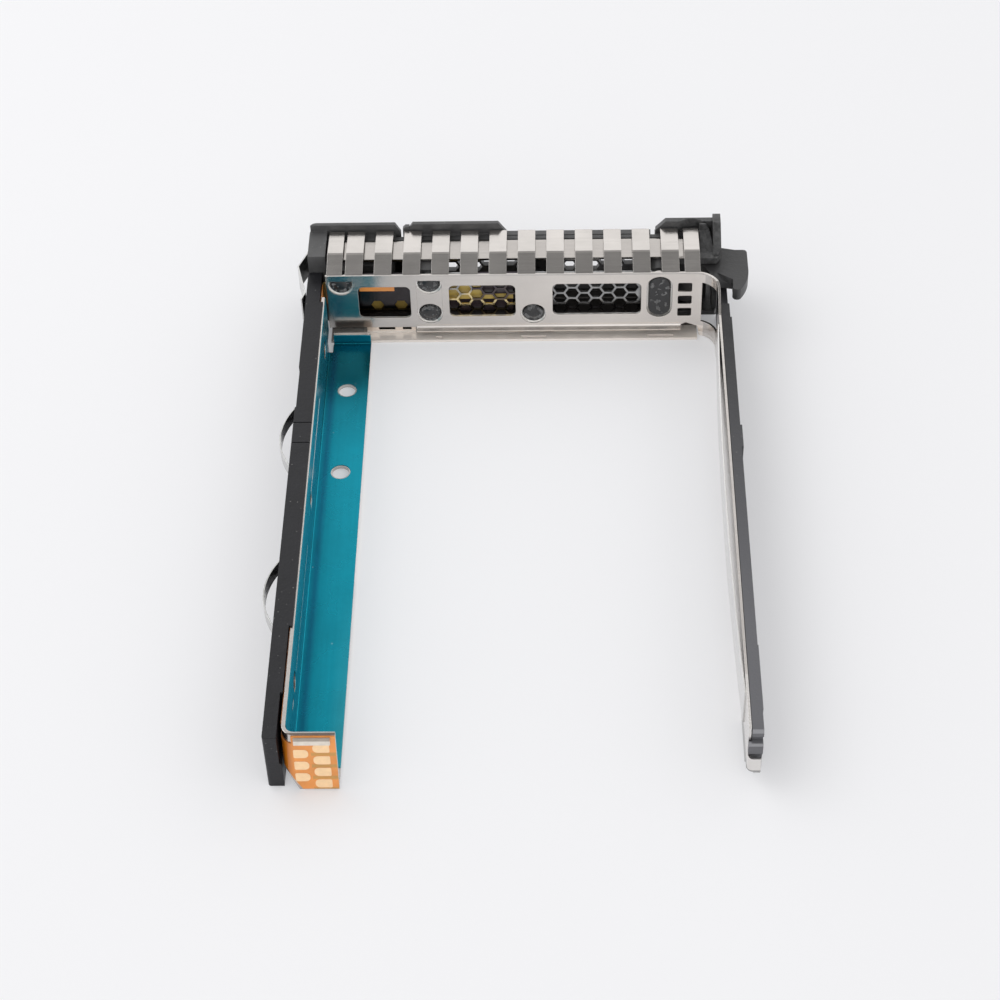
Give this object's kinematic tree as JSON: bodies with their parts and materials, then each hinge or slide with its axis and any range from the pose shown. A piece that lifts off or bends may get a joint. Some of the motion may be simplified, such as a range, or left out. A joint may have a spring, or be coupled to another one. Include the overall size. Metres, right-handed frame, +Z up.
{
  "type": "hot swap drive caddy",
  "caption": "Open drive carrier with steel-fingered front, moulded side covers, teal-lined left rail, rear contact end, release button and a swinging latch lever.",
  "frame": {"origin": "on the base, on the bay's centre plane, in the plane of the crossbar face that closes the front of the bay", "axes": "X across the caddy, Y along it towards the front bezel, Z up from the base"},
  "size_m": [0.0821, 0.1161, 0.0176],
  "materials": {
    "nickel_steel": "bright nickel plate with fine lengthwise brushing",
    "grille_steel": "dull grey perforated steel",
    "spring_steel": "bright hard-rolled strip",
    "pin_steel": "bright drawn wire",
    "black_plastic": "fine moulded grain, dark grey",
    "lever_plastic": "fine moulded grain, dark grey",
    "button_plastic": "satin, dark grey",
    "clear_lens": "clear, slightly milky",
    "teal_film": "glossy coloured film on the steel",
    "amber_circuit": "satin amber film",
    "gold_pads": "pale plated pads",
    "pale_clip": "pale stiffening strip",
    "chip_body": "small moulded parts, yellowish"
  },
  "bodies": {
    "chassis": {"crossbar": "nickel_steel", "front_cage": "nickel_steel", "vent_grille": "grille_steel", "left_rail": "nickel_steel", "right_leaf": "spring_steel", "side_spring_front": "spring_steel", "side_spring_rear": "spring_steel", "ground_clip": "spring_steel", "lever_pin": "pin_steel", "button_spring": "spring_steel", "bezel": "black_plastic", "left_cover": "black_plastic", "right_cover": "black_plastic", "light_ring": "clear_lens", "status_lens": "clear_lens", "insulating_film": "teal_film", "flex_circuit": "amber_circuit", "contact_pads": "gold_pads", "flex_clip": "pale_clip", "led_chips": "chip_body"},
    "lever": {"latch_lever": "lever_plastic"},
    "button": {"release_button": "button_plastic"}
  },
  "joints": [
    {"name": "lever_hinge", "type": "hinge", "parent": "chassis", "child": "lever", "pos_m": [0.031, 0.0096, 0.007], "axis": [0, 0, -1], "range_deg": [0, 22]},
    {"name": "button_slide", "type": "slide", "parent": "chassis", "child": "button", "axis": [0, -1, 0], "range_m": [0, 0.0012], "stiffness_N_per_m": 800, "deforming": ["button_spring"]}
  ]
}
